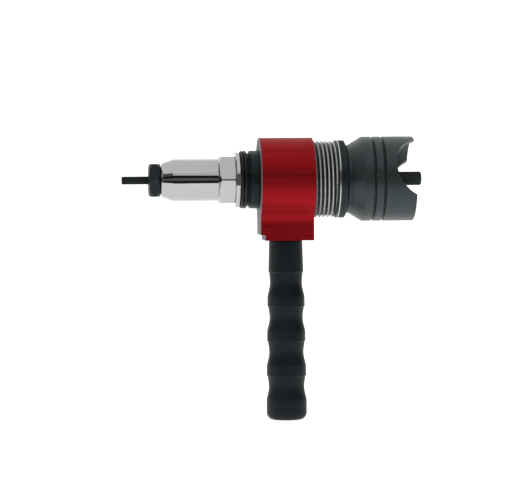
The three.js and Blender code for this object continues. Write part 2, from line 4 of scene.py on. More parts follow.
import bpy
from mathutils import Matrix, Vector


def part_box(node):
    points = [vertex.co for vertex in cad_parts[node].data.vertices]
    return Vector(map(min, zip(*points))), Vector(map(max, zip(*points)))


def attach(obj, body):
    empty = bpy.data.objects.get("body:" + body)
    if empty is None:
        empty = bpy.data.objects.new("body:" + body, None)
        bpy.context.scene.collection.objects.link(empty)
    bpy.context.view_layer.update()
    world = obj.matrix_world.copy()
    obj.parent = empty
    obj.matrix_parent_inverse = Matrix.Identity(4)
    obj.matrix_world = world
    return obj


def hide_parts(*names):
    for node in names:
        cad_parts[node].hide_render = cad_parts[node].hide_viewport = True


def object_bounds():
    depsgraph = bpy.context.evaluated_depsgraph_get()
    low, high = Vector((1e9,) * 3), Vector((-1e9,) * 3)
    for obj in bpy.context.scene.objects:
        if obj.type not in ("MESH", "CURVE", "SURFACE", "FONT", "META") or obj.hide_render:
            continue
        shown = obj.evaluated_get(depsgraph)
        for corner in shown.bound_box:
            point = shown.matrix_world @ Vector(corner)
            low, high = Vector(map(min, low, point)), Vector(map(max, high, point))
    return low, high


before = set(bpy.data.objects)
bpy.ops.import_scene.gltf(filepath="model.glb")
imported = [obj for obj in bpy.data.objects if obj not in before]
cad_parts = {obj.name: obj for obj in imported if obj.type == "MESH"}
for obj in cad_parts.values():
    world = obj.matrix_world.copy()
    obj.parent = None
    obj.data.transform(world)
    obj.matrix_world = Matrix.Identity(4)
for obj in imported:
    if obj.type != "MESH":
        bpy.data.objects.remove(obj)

cad_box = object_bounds()
MM = 0.001

# Sizes of the hexagons across their flats and of the pull thread, in millimetres.
ANVIL_FLATS = 24
NOSE_FLATS = 34
SHANK_FLATS = 10
PULL_PITCH = 3.0

CUP_SCREWS = ("cup_screw_1", "cup_screw_2", "cup_screw_3", "cup_screw_4")


# ---- Stations of the frame, in millimetres along the draw axis --------------------------------------
def span(node):
    low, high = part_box(node)
    return low.x / MM, high.x / MM


def radius_of(node):
    low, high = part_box(node)
    return (high.z - low.z) / 2 / MM


anvil_front, anvil_rear = span("anvil")
nose_front, nose_rear = span("nose_sleeve")
lock_front, lock_rear = span("nose_lock_ring")
seal_front, seal_rear = span("nose_seal_ring")
collar_front, collar_rear = span("nose_collar")
housing_front, housing_rear = span("housing")
sleeve_front, sleeve_rear = span("pull_sleeve")
ring_front, ring_rear = span("knurled_ring")
cup_front, cup_rear = span("cup")
cap_front, cap_rear = span("bearing_cap")
spindle_front, spindle_rear = span("drive_spindle")
mandrel_rear = span("mandrel")[1]
grip_low, grip_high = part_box("handle_grip")
handle_x = (grip_low.x + grip_high.x) / 2 / MM
grip_top = grip_high.z / MM
grip_bottom = grip_low.z / MM
seat_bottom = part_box("housing")[0].z / MM
body_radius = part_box("housing")[1].z / MM


# ---- Modelling --------------------------------------------------------------------------------------
def deselect():
    bpy.ops.object.select_all(action="DESELECT")


def pick(obj):
    deselect()
    obj.select_set(True)
    bpy.context.view_layer.objects.active = obj


def edit(obj, kind):
    pick(obj)
    bpy.ops.object.mode_set(mode="EDIT")
    bpy.ops.mesh.select_mode(type=kind)


def object_mode():
    bpy.ops.object.mode_set(mode="OBJECT")


def apply_place(obj):
    pick(obj)
    bpy.ops.object.transform_apply(location=True, rotation=True, scale=True)
    return obj


def just_made(name):
    """The primitive that was just added, under its own name and with its place applied."""
    piece = bpy.context.object
    piece.name = name
    return apply_place(piece)


def weld(obj, distance=1e-6):
    edit(obj, "VERT")
    bpy.ops.mesh.select_all(action="SELECT")
    bpy.ops.mesh.remove_doubles(threshold=distance)
    bpy.ops.mesh.normals_make_consistent(inside=False)
    object_mode()
    return obj


def extend(x, y, z):
    """Draws the selected part of the mesh out by so many mm."""
    bpy.ops.mesh.extrude_region_move(TRANSFORM_OT_translate={"value": (x * MM, y * MM, z * MM)})


def start_point(name, x, y, z):
    """A mesh of one point, left in edit mode for an outline to be drawn from it."""
    deselect()
    bpy.ops.mesh.primitive_plane_add(size=MM, location=(x * MM, y * MM, z * MM))
    piece = just_made(name)
    edit(piece, "VERT")
    bpy.ops.mesh.select_all(action="SELECT")
    bpy.ops.mesh.merge(type="CENTER")
    return piece


def turned(name, profile, sides=96):
    """A piece turned about X. The profile lists (x, radius) in mm; a ring's ends where it starts."""
    deselect()
    x, r = profile[0]
    bpy.ops.mesh.primitive_circle_add(
        vertices=sides, radius=r * MM, location=(x * MM, 0, 0), rotation=(0, math.pi / 2, 0)
    )
    piece = just_made(name)
    edit(piece, "EDGE")
    bpy.ops.mesh.select_all(action="SELECT")
    for next_x, next_r in profile[1:]:
        extend(next_x - x, 0, 0)
        if abs(next_r - r) > 1e-9:
            grow = next_r / r
            bpy.ops.transform.resize(value=(1, grow, grow), center_override=(next_x * MM, 0, 0))
        x, r = next_x, next_r
    bpy.ops.mesh.select_all(action="SELECT")
    bpy.ops.mesh.remove_doubles(threshold=1e-6)
    bpy.ops.mesh.select_all(action="DESELECT")
    bpy.ops.mesh.select_non_manifold()
    bpy.ops.mesh.fill_holes(sides=0)
    bpy.ops.mesh.select_all(action="SELECT")
    bpy.ops.mesh.normals_make_consistent(inside=False)
    object_mode()
    return piece


def closed(profile):
    return profile + [profile[0]]


def hexagon(name, flats, x0, x1):
    """A hexagonal bar along X, with flats at top and bottom."""
    deselect()
    bpy.ops.mesh.primitive_cylinder_add(
        vertices=6, radius=flats / math.sqrt(3) * MM, depth=(x1 - x0) * MM,
        location=((x0 + x1) / 2 * MM, 0, 0), rotation=(0, math.pi / 2, 0),
    )
    return just_made(name)


def round_bar(name, radius, length, place, turn=(0, 0, 0), sides=64):
    """A round bar that stands along Z before it is turned."""
    deselect()
    bpy.ops.mesh.primitive_cylinder_add(
        vertices=sides, radius=radius * MM, depth=length * MM,
        location=[v * MM for v in place], rotation=turn,
    )
    return just_made(name)


def apply_modifier(piece, kind, **settings):
    pick(piece)
    modifier = piece.modifiers.new(kind.title(), kind)
    for key, value in settings.items():
        setattr(modifier, key, value)
    bpy.ops.object.modifier_apply(modifier=modifier.name)
    return piece


def combine(piece, other, operation):
    apply_modifier(piece, "BOOLEAN", object=other, operation=operation, solver="EXACT")
    bpy.data.objects.remove(other)
    return piece


def smooth(piece, angle=30):
    pick(piece)
    bpy.ops.object.shade_smooth_by_angle(angle=math.radians(angle))
    return piece


def soften(piece, width, segments=2, limit=28, shading=34):
    """Breaks the sharp edges and shades the rest smoothly."""
    apply_modifier(
        piece, "BEVEL", width=width * MM, segments=segments, limit_method="ANGLE",
        angle_limit=math.radians(limit), use_clamp_overlap=True, miter_outer="MITER_ARC",
    )
    smooth(piece, shading)
    return apply_modifier(piece, "WEIGHTED_NORMAL", keep_sharp=True, weight=100)


def move_by(piece, offset):
    piece.location = [v * MM for v in offset]
    return apply_place(piece)


def helix_start(start_x, pitch):
    """Where the middle of a screw's first ridge lies, outside the plane where the screw is cut."""
    return start_x - 1.5 * pitch


def screwed(name, start_x, end_x, pitch, outline, steps):
    """A right-handed screw between two planes. The outline lists one pitch as (x, radius) in mm."""
    first = helix_start(start_x, pitch)
    x, r = outline[0]
    piece = start_point(name, first + x, r, 0)
    for next_x, next_r in outline[1:] + [(x + pitch, r)]:
        extend(next_x - x, next_r - r, 0)
        x, r = next_x, next_r
    object_mode()
    turns = math.ceil((end_x - first) / pitch) + 2
    apply_modifier(
        piece, "SCREW", axis="X", angle=2 * math.pi, screw_offset=pitch * MM, iterations=turns,
        steps=steps, render_steps=steps, use_merge_vertices=True, merge_threshold=1e-6,
    )
    weld(piece, 2e-6)
    for plane_x, outer in ((start_x, True), (end_x, False)):
        edit(piece, "VERT")
        bpy.ops.mesh.select_all(action="SELECT")
        bpy.ops.mesh.bisect(
            plane_co=(plane_x * MM, 0, 0), plane_no=(1, 0, 0), use_fill=True,
            clear_inner=outer, clear_outer=not outer, threshold=1e-7,
        )
        object_mode()
    return weld(piece)


# ---- Mandrel and anvil ------------------------------------------------------------------------------
def build_mandrel():
    crest, root, pitch = 3.0, 2.84, 1.0
    thread_end, head = 18.2, 56.0
    stem = turned("mandrel", [
        (0, 2.3), (0.8, crest - 0.02), (1.2, root), (thread_end, root), (thread_end + 1, crest),
        (head + 1, crest),
    ], 48)
    ridge = [(-0.5, 2.7), (-0.32, root), (-0.16, crest), (0.16, crest), (0.32, root)]
    thread = screwed("mandrel_thread", 1.0, thread_end + 0.4, pitch, ridge, 32)
    combine(stem, thread, "UNION")
    combine(stem, hexagon("mandrel_head", 10, head, mandrel_rear), "UNION")
    return soften(stem, 0.06, 1)


def build_anvil():
    clear = ANVIL_FLATS / math.sqrt(3) + 0.05
    head_end = anvil_front + 8.8
    middle = (anvil_front + head_end) / 2
    blank = turned("anvil_blank", [
        (anvil_front, 10.3), (anvil_front + 0.5, 11.5), (anvil_front + 1.6, 12.5),
        (anvil_front + 3.0, 13.4), (middle - 0.25, clear), (middle + 0.25, clear),
        (head_end - 3.0, 13.4), (head_end - 1.6, 12.5), (head_end - 0.5, 11.7), (head_end, 10.9),
    ])
    piece = hexagon("anvil", ANVIL_FLATS, anvil_front - 3, head_end + 3)
    apply_modifier(piece, "BEVEL", width=0.7 * MM, segments=3, limit_method="ANGLE")
    combine(piece, blank, "INTERSECT")
    combine(piece, turned("anvil_shank", [(head_end - 1, 8), (anvil_rear, 8)]), "UNION")
    hole = [(anvil_front - 1, 3.8), (anvil_front + 0.6, 3.2), (anvil_rear + 1, 3.2)]
    combine(piece, turned("anvil_hole", hole, 48), "DIFFERENCE")
    return soften(piece, 0.35, 3)


# ---- Nose -------------------------------------------------------------------------------------------
def build_nose_sleeve():
    barrel_length, hex_length, barrel_radius, thread_radius = 41.3, 12.2, 15.5, 15
    hex_front = nose_front + barrel_length
    hex_rear = hex_front + hex_length
    corner = NOSE_FLATS / math.sqrt(3)
    hex_blank = turned("nose_hex_blank", [
        (hex_front, barrel_radius), (hex_front + 0.5, 16.5), (hex_front + 1.2, 17.8),
        (hex_front + 2.4, corner + 0.1), (hex_rear - 0.7, corner + 0.1), (hex_rear, corner - 0.9),
    ], 128)
    piece = hexagon("nose_sleeve", NOSE_FLATS, hex_front - 4, hex_rear + 4)
    apply_modifier(piece, "BEVEL", width=1.5 * MM, segments=5, limit_method="ANGLE")
    combine(piece, hex_blank, "INTERSECT")
    barrel = turned("nose_barrel", [
        (nose_front, 12.1), (nose_front + 0.35, 12.45), (nose_front + 0.9, 12.7),
        (nose_front + 8.1, barrel_radius - 0.12), (nose_front + 8.7, barrel_radius),
        (hex_front + 4, barrel_radius),
    ], 128)
    combine(piece, barrel, "UNION")
    thread = [
        (hex_rear - 1, thread_radius), (nose_rear - 1, thread_radius), (nose_rear, thread_radius - 0.8),
    ]
    combine(piece, turned("nose_thread", thread, 128), "UNION")
    step = nose_front + 10.2
    bore = [(nose_front - 1, 8.2), (step, 8.2), (step, 10.5), (nose_rear + 1, 10.5)]
    combine(piece, turned("nose_bore", bore, 96), "DIFFERENCE")
    return soften(piece, 0.3, 3)


def build_lock_ring():
    outer, bore = 20.5, 15.2
    profile = [
        (lock_front, bore), (lock_front, outer - 1.0), (lock_front + 0.25, outer - 0.5),
        (lock_front + 0.7, outer), (lock_rear - 0.6, outer), (lock_rear, outer - 0.7),
        (lock_rear, bore),
    ]
    piece = turned("nose_lock_ring", closed(profile), 128)
    for quarter in range(4):
        angle = quarter * math.pi / 2
        deselect()
        bpy.ops.mesh.primitive_cube_add(
            size=1, location=(0, -outer * MM * math.cos(angle), outer * MM * math.sin(angle)),
            rotation=(-angle, 0, 0), scale=(8 * MM, 2.4 * MM, 8 * MM),
        )
        notch = apply_place(bpy.context.object)
        move_by(notch, ((lock_front + lock_rear) / 2, 0, 0))
        combine(piece, notch, "DIFFERENCE")
    return soften(piece, 0.25, 2)


def build_seal_ring():
    outer, bore = 21.2, 15.2
    middle = (seal_front + seal_rear) / 2
    profile = [
        (seal_front, bore), (seal_front, outer - 0.9), (seal_front + 0.25, outer - 0.35),
        (middle - 0.2, outer), (middle + 0.2, outer), (seal_rear - 0.25, outer - 0.35),
        (seal_rear, outer - 0.9), (seal_rear, bore),
    ]
    return soften(turned("nose_seal_ring", closed(profile), 128), 0.12, 2)


def build_collar():
    outer, groove_floor, spigot, nut_seat, nose_bore = 21.2, 19.2, 19, 17, 15.2
    shoulder = collar_front + 11.6
    spigot_end = housing_front + 8.3
    bush_front = housing_front + 1
    nose_stop = nose_rear + 0.3
    groove = collar_front + 2.1
    line = groove + 3.5
    profile = [
        (collar_front, nose_bore), (collar_front, outer - 0.5), (collar_front + 0.4, outer),
        (groove - 0.2, outer), (groove + 0.75, groove_floor + 0.3), (groove + 0.95, groove_floor),
        (groove + 1.45, groove_floor), (groove + 1.65, groove_floor + 0.3), (groove + 2.6, outer),
        (line - 0.2, outer), (line, outer - 0.2), (line + 0.2, outer),
        (shoulder - 0.2, outer), (shoulder, outer - 0.2), (shoulder, spigot), (spigot_end, spigot),
        (spigot_end, nut_seat), (collar_rear, nut_seat), (collar_rear, 9.6), (bush_front, 9.6),
        (bush_front, 10.5), (nose_stop, 10.5), (nose_stop, nose_bore),
    ]
    return soften(turned("nose_collar", closed(profile), 128), 0.1, 2)


# ---- Housing and handle -----------------------------------------------------------------------------
def spin_about(y, z, angle, steps):
    """Carries the end of the housing's outline round an arc."""
    bpy.ops.mesh.spin(
        steps=steps, angle=-angle, center=(housing_front * MM, y * MM, z * MM), axis=(1, 0, 0),
        dupli=False,
    )


def draw_housing_body():
    """The round body and its block, drawn from one foot of the block over the top to the other."""
    half, blend = 15.5, 12.0
    blend_z = -math.sqrt((body_radius + blend) ** 2 - (half + blend) ** 2)
    touch = math.atan2(-blend_z, half + blend)
    piece = start_point("housing", housing_front, -half, seat_bottom)
    extend(0, 0, blend_z - seat_bottom)
    spin_about(-(half + blend), blend_z, touch, 12)
    spin_about(0, 0, -(math.pi + 2 * touch), 96)
    spin_about(half + blend, blend_z, touch, 12)
    extend(0, 0, seat_bottom - blend_z)
    bpy.ops.mesh.select_all(action="SELECT")
    bpy.ops.mesh.remove_doubles(threshold=1e-6)
    bpy.ops.mesh.edge_face_add()
    extend(housing_rear - housing_front, 0, 0)
    object_mode()
    return weld(piece)


def build_housing():
    front_hole, chamber = 19.2, 28.4
    chamber_front = housing_front + 8
    piece = draw_housing_body()
    seat_front = housing_front + 3.3
    block_bottom = seat_bottom + 4.1
    deselect()
    bpy.ops.mesh.primitive_cube_add(
        size=1, location=((seat_front - 5) * MM, 0, (block_bottom - 5) * MM),
        scale=(10 * MM, 40 * MM, 10 * MM),
    )
    combine(piece, apply_place(bpy.context.object), "DIFFERENCE")
    inside = closed([
        (chamber_front, front_hole), (chamber_front, chamber), (housing_rear - 0.8, chamber),
        (housing_rear + 1, chamber + 1.8), (housing_rear + 1, 0.5), (housing_front - 1, 0.5),
        (housing_front - 1, front_hole + 0.7), (housing_front + 0.6, front_hole),
    ])
    combine(piece, turned("housing_bore", inside, 128), "DIFFERENCE")
    grub_hole = round_bar("grub_hole", 2.75, 16, (housing_front + 4, 26, 0), (math.pi / 2, 0, 0))
    combine(piece, grub_hole, "DIFFERENCE")
    combine(piece, round_bar("stud_hole", 6.2, 28, (handle_x, 0, seat_bottom)), "DIFFERENCE")
    return soften(piece, 0.35, 3, 30)


def build_grub_screw():
    low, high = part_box("collar_grub_screw")
    length = (high.y - low.y) / MM
    profile = [(0, 1.2), (0.9, 2.1), (1.3, 2.5), (length - 0.35, 2.5), (length, 2.2)]
    piece = turned("collar_grub_screw", profile, 48)
    combine(piece, hexagon("grub_socket", 2.5, length - 3, length + 1), "DIFFERENCE")
    soften(piece, 0.08, 1)
    piece.rotation_euler = (0, 0, math.pi / 2)
    piece.location = ((low.x + high.x) / 2, low.y, 0)
    return apply_place(piece)


def finger_groove(depth, length, above, below, floor):
    """One groove's outline: a small step in from the land above, and a hollow to the band below."""
    steps, edge, start = 14, 0.55, 0.35
    dip = (above + below) / 2 - floor - edge / 2
    points = [(depth - 0.15, above), (depth, above - 0.15)]
    for step in range(steps + 1):
        t = step / steps
        level = above - edge + (below - above + edge) * t
        hollow = dip * math.sin(math.pi * t) ** 1.3
        points.append((depth + start + t * (length - start), level - hollow))
    return points


def grip_profile():
    """The grip's outline as (depth under its top, radius). It swells from finger to finger."""
    fingers, groove_length, band_length, swell = 4, 17.5, 7.9, 0.42
    depth, radius = 23.1, 12.8
    rim, corner, corner_steps = 14.76, 5.2, 8
    points = [(0, 11.7), (0.5, 12.2), (depth - 0.6, radius)]
    for finger in range(fingers):
        band = 13.5 + finger * swell
        points += finger_groove(depth, groove_length, radius, band, 11.8 + finger * swell)
        depth += groove_length
        if finger < fingers - 1:
            radius = band + 0.1
            points += [(depth + 0.5, band + 0.12), (depth + band_length - 0.5, radius + 0.12)]
            depth += band_length
    end = grip_top - grip_bottom
    points += [(depth + 0.6, rim), (end - corner - 0.4, rim + 0.05)]
    for step in range(1, corner_steps + 1):
        angle = step / corner_steps * math.pi / 2
        inward = 0.33 * (1 - math.cos(angle))
        points.append((end - corner + corner * math.sin(angle), rim * (1 - inward)))
    points.append((end, 6))
    return points


def build_grip():
    piece = turned("handle_grip", grip_profile(), 128)
    core_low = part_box("handle_core")[0].z / MM
    bore = [(-1, 9.7), (grip_top - core_low + 0.3, 9.7)]
    combine(piece, turned("grip_bore", bore, 96), "DIFFERENCE")
    soften(piece, 0.25, 2, 40, 50)
    piece.rotation_euler = (0, math.pi / 2, 0)
    piece.location = (handle_x * MM, 0, grip_top * MM)
    return apply_place(piece)


# ---- Pull sleeve, knurled ring and cup --------------------------------------------------------------
def build_pull_sleeve():
    chamber, rear_chamber, hub_bore, seat = 21.6, 17, 9.5, 23.5
    thread_end = ring_front - 0.3
    ridge = [
        (-1.5, 26.2), (-1.34, 26.22), (-1.24, 26.35), (-0.58, 27.75), (-0.46, 27.92), (-0.25, 27.98),
        (0.25, 27.98), (0.46, 27.92), (0.58, 27.75), (1.24, 26.35), (1.34, 26.22),
    ]
    piece = screwed("pull_sleeve", sleeve_front, thread_end, PULL_PITCH, ridge, 96)
    combine(piece, turned("ring_seat", [(thread_end - 2, seat), (sleeve_rear, seat)], 96), "UNION")
    wall_front = sleeve_front + 6
    wall_rear = wall_front + 8
    inside = [
        (sleeve_front - 1, chamber), (wall_front, chamber), (wall_front, hub_bore),
        (wall_rear, hub_bore), (wall_rear, rear_chamber), (sleeve_rear + 1, rear_chamber),
    ]
    combine(piece, turned("sleeve_inside", inside, 96), "DIFFERENCE")
    return soften(piece, 0.05, 1, 40, 40)


def build_knurled_ring():
    """A ring with a knurled band: every other point of its grid is pressed in to leave diamonds."""
    bore, rows, around, knurl_depth = 23.7, 5, 160, 0.6
    band_front = ring_front + 2.5
    band_rear = ring_rear - 1.3
    profile = [
        (ring_front, bore), (ring_front, 28.1), (ring_front + 0.5, 28.55), (ring_front + 1.3, 28.6),
        (ring_front + 1.6, 28.3), (ring_front + 1.62, 27.75), (ring_front + 2.35, 27.75),
        (ring_front + 2.4, 28.2),
    ]
    profile += [(band_front + (band_rear - band_front) * row / rows, 28.45) for row in range(rows + 1)]
    profile += [(ring_rear - 0.9, 27.9), (ring_rear, 25.6), (ring_rear, bore)]
    piece = turned("knurled_ring", closed(profile), around)
    edit(piece, "VERT")
    bpy.ops.mesh.select_all(action="DESELECT")
    object_mode()
    pitch = (band_rear - band_front) / rows
    for vertex in piece.data.vertices:
        x, y, z = [v / MM for v in vertex.co]
        row = (x - band_front) / pitch
        if -0.01 <= row <= rows + 0.01 and math.hypot(y, z) > 28:
            place = round(math.atan2(z, y) / (2 * math.pi) * around)
            vertex.select = (round(row) + place) % 2 == 0
    edit(piece, "VERT")
    bpy.ops.transform.shrink_fatten(value=-knurl_depth * MM)
    object_mode()
    return smooth(piece, 10)


def off_axis(node):
    """How far a node's middle lies from the draw axis, as a move across it."""
    low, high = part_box(node)
    return 0, (low.y + high.y) / 2 / MM, (low.z + high.z) / 2 / MM


def build_cup():
    neck, full, wall, web_hole = 25.0, 31.0, 3.5, 10.0
    notch_radius, notch_beyond_rim, notch_turn = 23, 8, 22.5
    groove_depth = 1.42
    flare_end = cup_front + 11.9
    web = cup_front + 6
    inner = full - wall
    profile = [
        (cup_front, web_hole), (cup_front, neck - 0.4), (cup_front + 0.4, neck - 0.1),
        (cup_front + 1.7, neck + 0.1), (cup_front + 2.4, neck + 0.35), (flare_end - 1.0, full - 0.45),
        (flare_end - 0.4, full - 0.12), (flare_end + 0.3, full),
    ]
    for at in (cup_front + 18.9, cup_front + 26.1):
        profile += [
            (at - 1.15, full), (at - 0.95, full - 0.12), (at - 0.15, full - groove_depth),
            (at + 0.15, full - groove_depth), (at + 0.95, full - 0.12), (at + 1.15, full),
        ]
    profile += [
        (cup_rear - 0.7, full), (cup_rear - 0.2, full - 0.2), (cup_rear, full - 0.7),
        (cup_rear, inner + 0.4), (cup_rear - 0.4, inner), (flare_end + 0.8, inner), (web + 0.5, 24.9),
        (web, 24.4), (web, web_hole + 0.4), (web - 0.4, web_hole),
    ]
    piece = turned("cup", closed(profile), 160)
    tilt = math.radians(90 - notch_turn)
    notch = round_bar("cup_notch", notch_radius, 90, (0, 0, 0), (tilt, 0, 0), 192)
    move_by(notch, (cup_rear + notch_beyond_rim, 0, 0))
    combine(piece, notch, "DIFFERENCE")
    for screw in CUP_SCREWS:
        hole = turned("screw_hole", [(cup_front - 1, 2.2), (web + 1, 2.2)], 32)
        move_by(hole, off_axis(screw))
        combine(piece, hole, "DIFFERENCE")
    return soften(piece, 0.3, 3, 40, 40)


def build_cup_screw(name):
    x0, x1 = span(name)
    head = x1 - 3.5
    piece = turned(name, [
        (x0, 1.5), (x0 + 0.5, 2.0), (head, 2.0), (head, 3.3), (head + 0.1, 3.4), (x1 - 0.5, 3.4),
        (x1 - 0.15, 3.25), (x1, 2.95),
    ], 48)
    combine(piece, hexagon("hex_socket", 3, x1 - 2, x1 + 1), "DIFFERENCE")
    soften(piece, 0.08, 2)
    return move_by(piece, off_axis(name))


# ---- Spindle and what turns with it -----------------------------------------------------------------
def build_spindle():
    stub, journal, flange, break_edge = 6, 7.5, 15, 0.2
    stub_end = spindle_front + 12
    flange_rear = cap_front - 1.6
    flange_front = flange_rear - 5
    shank_x = cup_front + 4
    corner = SHANK_FLATS / math.sqrt(3)
    piece = turned("drive_spindle", [
        (spindle_front, stub - 0.6), (spindle_front + 0.6, stub), (stub_end - break_edge, stub),
        (stub_end - break_edge, journal - break_edge), (stub_end, journal), (flange_front, journal),
        (flange_front, flange - break_edge), (flange_front + break_edge, flange),
        (flange_rear - break_edge, flange), (flange_rear, flange - break_edge), (flange_rear, journal),
        (shank_x - 1, journal), (shank_x, journal - 1.2),
    ], 96)
    shank = hexagon("shank", SHANK_FLATS, shank_x - 2, spindle_rear)
    blank = turned("shank_blank", [
        (shank_x - 3, corner + 0.1), (spindle_rear - 1.3, corner + 0.1),
        (spindle_rear - 0.3, corner - 1.1), (spindle_rear, corner - 1.6),
    ])
    combine(shank, blank, "INTERSECT")
    combine(piece, shank, "UNION")
    return soften(piece, 0.18, 2)


def build_plain_ring(name, bore, chamfer=0.25):
    x0, x1 = span(name)
    outer = radius_of(name)
    return turned(name, closed([
        (x0, bore + chamfer), (x0, outer - chamfer), (x0 + chamfer, outer), (x1 - chamfer, outer),
        (x1, outer - chamfer), (x1, bore + chamfer), (x1 - chamfer, bore), (x0 + chamfer, bore),
    ]), 96)


def build_bearing_cap():
    piece = build_plain_ring("bearing_cap", 9.5, 0.4)
    for side in (-1, 1):
        hole = turned("key_hole", [(cap_rear - 3, 1.6), (cap_rear + 1, 1.6)], 32)
        move_by(hole, (0, 13 * side, 0))
        combine(piece, hole, "DIFFERENCE")
    return soften(piece, 0.12, 2)


def build_ball(name):
    low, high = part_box(name)
    deselect()
    bpy.ops.mesh.primitive_uv_sphere_add(
        segments=32, ring_count=16, radius=(high.x - low.x) / 2, location=(low + high) / 2
    )
    piece = just_made(name)
    edit(piece, "VERT")
    bpy.ops.mesh.select_all(action="SELECT")
    bpy.ops.mesh.subdivide(number_cuts=1, smoothness=1)
    object_mode()
    return smooth(piece, 60)


# ---- Finishes ---------------------------------------------------------------------------------------
COOL = (0.80, 0.97, 1.0)  # the tint of the gloss on the blackened and moulded pieces


def new_finish(name, colour, metallic, roughness, specular=0.5, gloss=(1, 1, 1)):
    material = bpy.data.materials.new(name)
    material.use_nodes = True
    material.diffuse_color = (*colour, 1)
    tree = material.node_tree
    shader = tree.nodes["Principled BSDF"]
    shader.inputs["Base Color"].default_value = (*colour, 1)
    shader.inputs["Metallic"].default_value = metallic
    shader.inputs["Roughness"].default_value = roughness
    shader.inputs["Specular IOR Level"].default_value = specular
    shader.inputs["Specular Tint"].default_value = (*gloss, 1)
    return material, tree, shader


def placed(tree, scale=(1, 1, 1)):
    """The place on the piece. A large scale along one axis makes marks that run across it."""
    coordinates = tree.nodes.new("ShaderNodeTexCoord")
    mapping = tree.nodes.new("ShaderNodeMapping")
    mapping.inputs["Scale"].default_value = scale
    tree.links.new(coordinates.outputs["Object"], mapping.inputs["Vector"])
    return mapping.outputs["Vector"]


def noise(tree, vector, scale, detail=4, roughness=0.55):
    node = tree.nodes.new("ShaderNodeTexNoise")
    node.inputs["Scale"].default_value = scale
    node.inputs["Detail"].default_value = detail
    node.inputs["Roughness"].default_value = roughness
    tree.links.new(vector, node.inputs["Vector"])
    return node.outputs["Fac"]


def spread(tree, value, low, high, start=0.0, end=1.0):
    """Carries a value that runs from start to end over to one that runs from low to high."""
    node = tree.nodes.new("ShaderNodeMapRange")
    node.inputs["From Min"].default_value = start
    node.inputs["From Max"].default_value = end
    node.inputs["To Min"].default_value = low
    node.inputs["To Max"].default_value = high
    tree.links.new(value, node.inputs["Value"])
    return node.outputs["Result"]


def calculate(tree, operation, first, second):
    node = tree.nodes.new("ShaderNodeMath")
    node.operation = operation
    for socket, value in zip(node.inputs, (first, second)):
        if isinstance(value, (int, float)):
            socket.default_value = value
        else:
            tree.links.new(value, socket)
    return node.outputs["Value"]


def tint(tree, factor, first, second):
    """Mixes two colours. Either is a colour or the output of another mix."""
    node = tree.nodes.new("ShaderNodeMix")
    node.data_type = "RGBA"
    tree.links.new(factor, node.inputs["Factor"])
    for socket, value in ((node.inputs[6], first), (node.inputs[7], second)):
        if isinstance(value, tuple):
            socket.default_value = (*value, 1)
        else:
            tree.links.new(value, socket)
    return node.outputs[2]


def scaled(tree, value, factor):
    return calculate(tree, "MULTIPLY", value, factor)


def relief(tree, shader, height, strength, depth_mm):
    node = tree.nodes.new("ShaderNodeBump")
    node.inputs["Strength"].default_value = strength
    node.inputs["Distance"].default_value = depth_mm * MM
    tree.links.new(height, node.inputs["Height"])
    tree.links.new(node.outputs["Normal"], shader.inputs["Normal"])


def edges(tree, low, high):
    """Runs from 0 to 1 on the outer edges, where handling wears a finish."""
    geometry = tree.nodes.new("ShaderNodeNewGeometry")
    return spread(tree, geometry.outputs["Pointiness"], 0, 1, low, high)


def give(tree, shader, socket, value):
    tree.links.new(value, shader.inputs[socket])


def chrome_finish():
    """Bright plating over faint turning marks."""
    material, tree, shader = new_finish("chrome", (0.41, 0.415, 0.41), 1.0, 0.07)
    cloud = noise(tree, placed(tree), 55, 3)
    marks = noise(tree, placed(tree, (900, 60, 60)), 6, 5, 0.7)
    give(tree, shader, "Base Color", tint(tree, cloud, (0.37, 0.375, 0.375), (0.45, 0.45, 0.435)))
    give(tree, shader, "Roughness", spread(tree, marks, 0.045, 0.13, 0.35, 0.7))
    relief(tree, shader, calculate(tree, "ADD", marks, scaled(tree, cloud, 2.0)), 0.05, 0.05)
    return material


def red_anodised_finish():
    """Red anodised aluminium, brushed along the draw axis, fine lines over broader streaks."""
    material, tree, shader = new_finish("red_anodised", (0.36, 0.012, 0.016), 0.96, 0.45)
    brushing = noise(tree, placed(tree, (14, 1500, 1500)), 1.0, 5, 0.65)
    streaks = noise(tree, placed(tree, (6, 260, 260)), 1.0, 3, 0.5)
    both = calculate(tree, "ADD", scaled(tree, brushing, 0.55), scaled(tree, streaks, 0.45))
    shade = spread(tree, both, 0, 1, 0.34, 0.66)
    give(tree, shader, "Base Color", tint(tree, shade, (0.19, 0.0035, 0.006), (0.385, 0.012, 0.017)))
    give(tree, shader, "Roughness", spread(tree, both, 0.50, 0.64, 0.34, 0.66))
    relief(tree, shader, brushing, 0.10, 0.03)
    return material


def machined_face_finish():
    """Bare aluminium, faced in a lathe."""
    material, tree, shader = new_finish("machined_aluminium", (0.20, 0.195, 0.21), 0.1, 0.6, 0.1)
    rings = tree.nodes.new("ShaderNodeTexWave")
    rings.wave_type = "RINGS"
    rings.rings_direction = "X"
    rings.inputs["Scale"].default_value = 520
    rings.inputs["Distortion"].default_value = 1.5
    rings.inputs["Detail"].default_value = 2
    tree.links.new(placed(tree), rings.inputs["Vector"])
    cloud = noise(tree, placed(tree), 120, 4)
    give(tree, shader, "Base Color", tint(tree, cloud, (0.15, 0.145, 0.165), (0.24, 0.23, 0.24)))
    give(tree, shader, "Roughness", spread(tree, rings.outputs["Fac"], 0.5, 0.68))
    relief(tree, shader, rings.outputs["Fac"], 0.2, 0.02)
    return material


